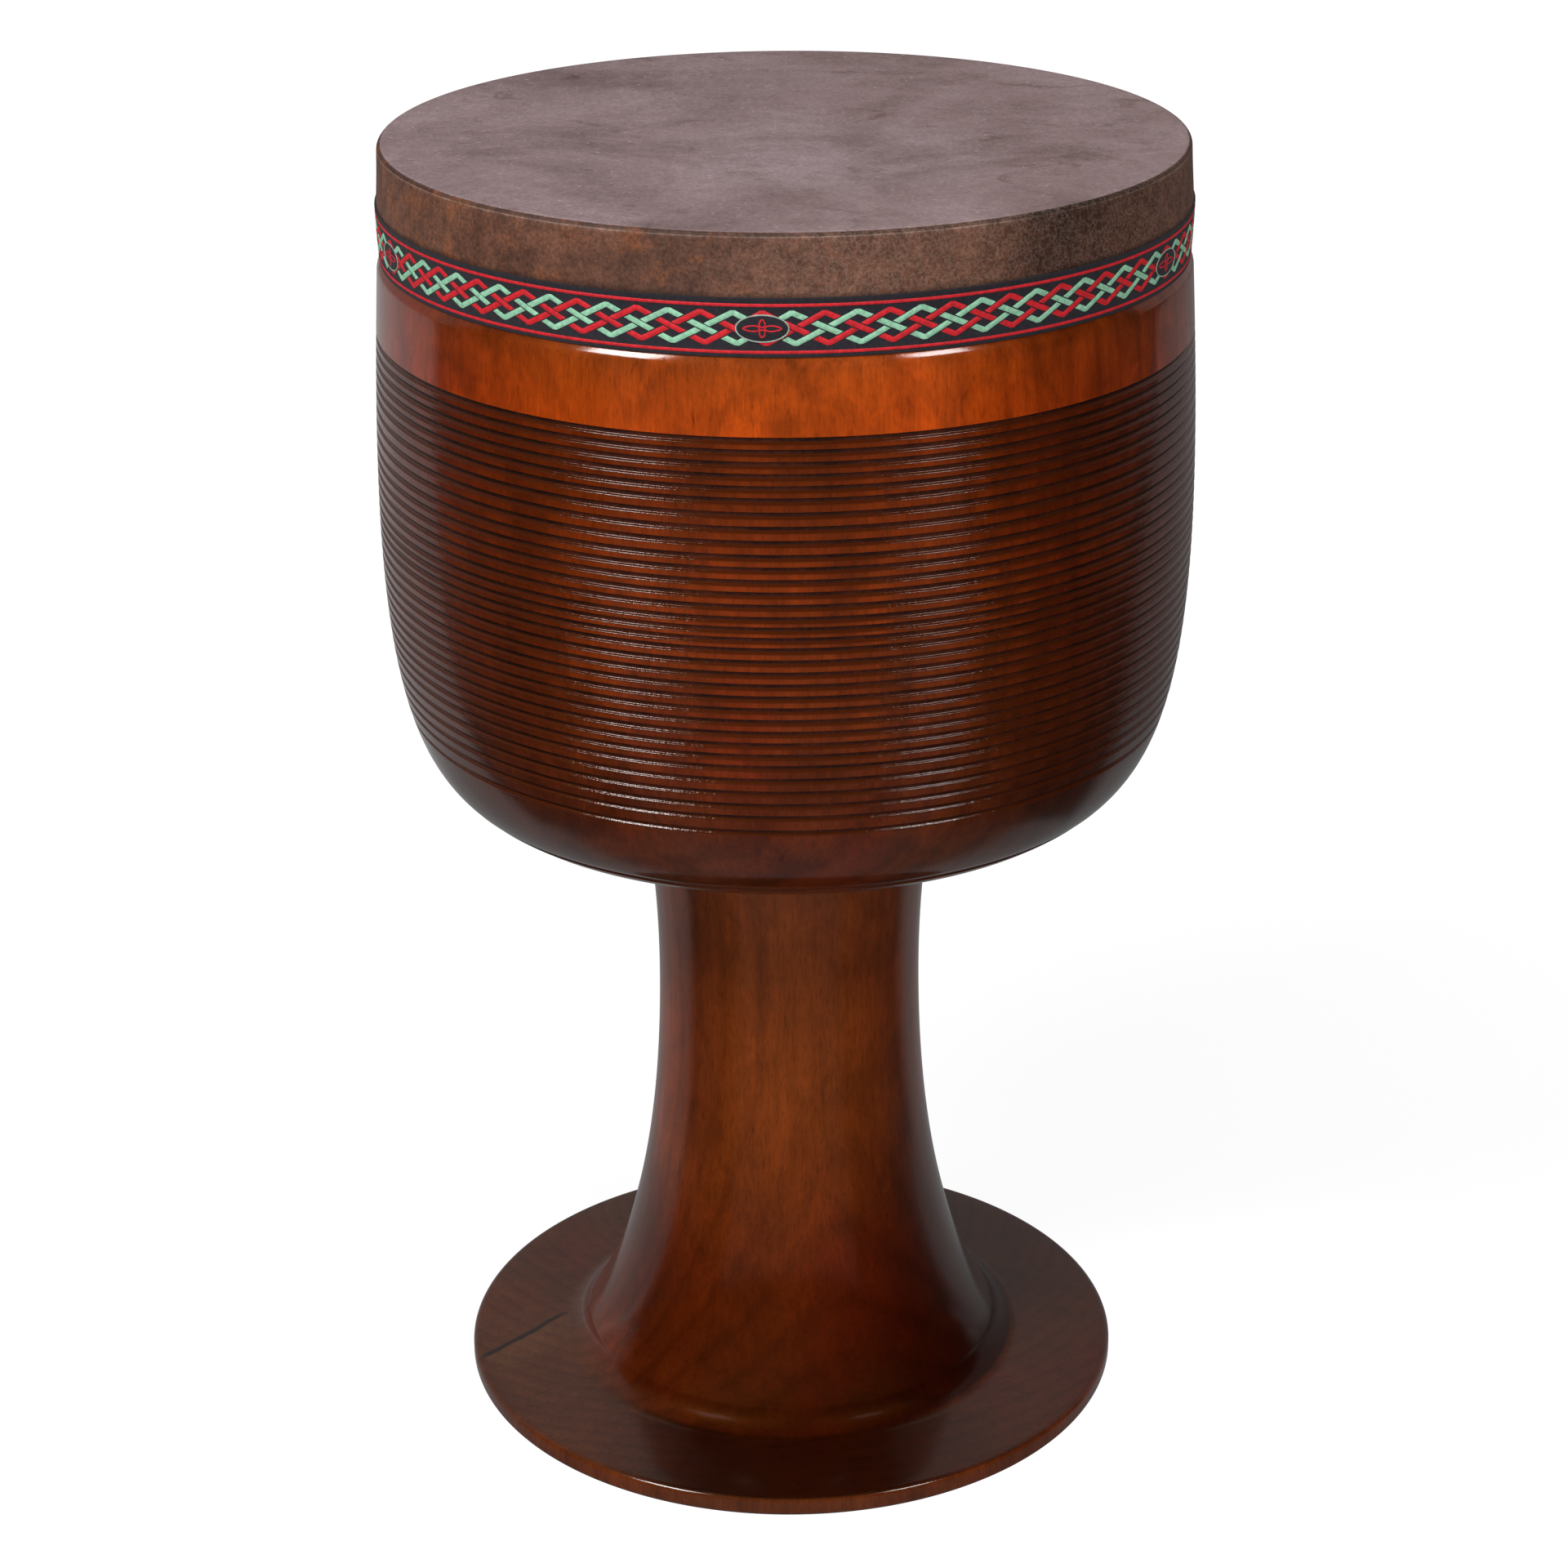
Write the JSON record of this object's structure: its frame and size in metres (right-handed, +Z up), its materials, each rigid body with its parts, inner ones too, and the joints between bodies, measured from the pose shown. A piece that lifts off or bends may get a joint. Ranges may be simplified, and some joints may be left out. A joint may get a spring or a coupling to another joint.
{
  "type": "goblet drum",
  "caption": "Goblet drum with a deep grooved wooden bowl, a trumpet-shaped neck and foot, a glued hide head and a woven ribbon round its edge.",
  "frame": {"origin": "centre of the foot's underside, on the floor", "axes": "+Z up along the drum's turning axis; the pictured front faces -Y"},
  "size_m": [0.2794, 0.2794, 0.463],
  "materials": {
    "bowl_wood": "walnut, stained orange-brown and lacquered",
    "neck_wood": "walnut, stained dark red-brown and lacquered",
    "hide": "dyed goat hide, dull",
    "ribbon_weave": "black woven ribbon with a red and green interlaced band"
  },
  "bodies": {
    "root": {"bowl": "bowl_wood", "neck_and_foot": "neck_wood", "drum_skin": "hide", "ribbon": "ribbon_weave"}
  },
  "joints": []
}
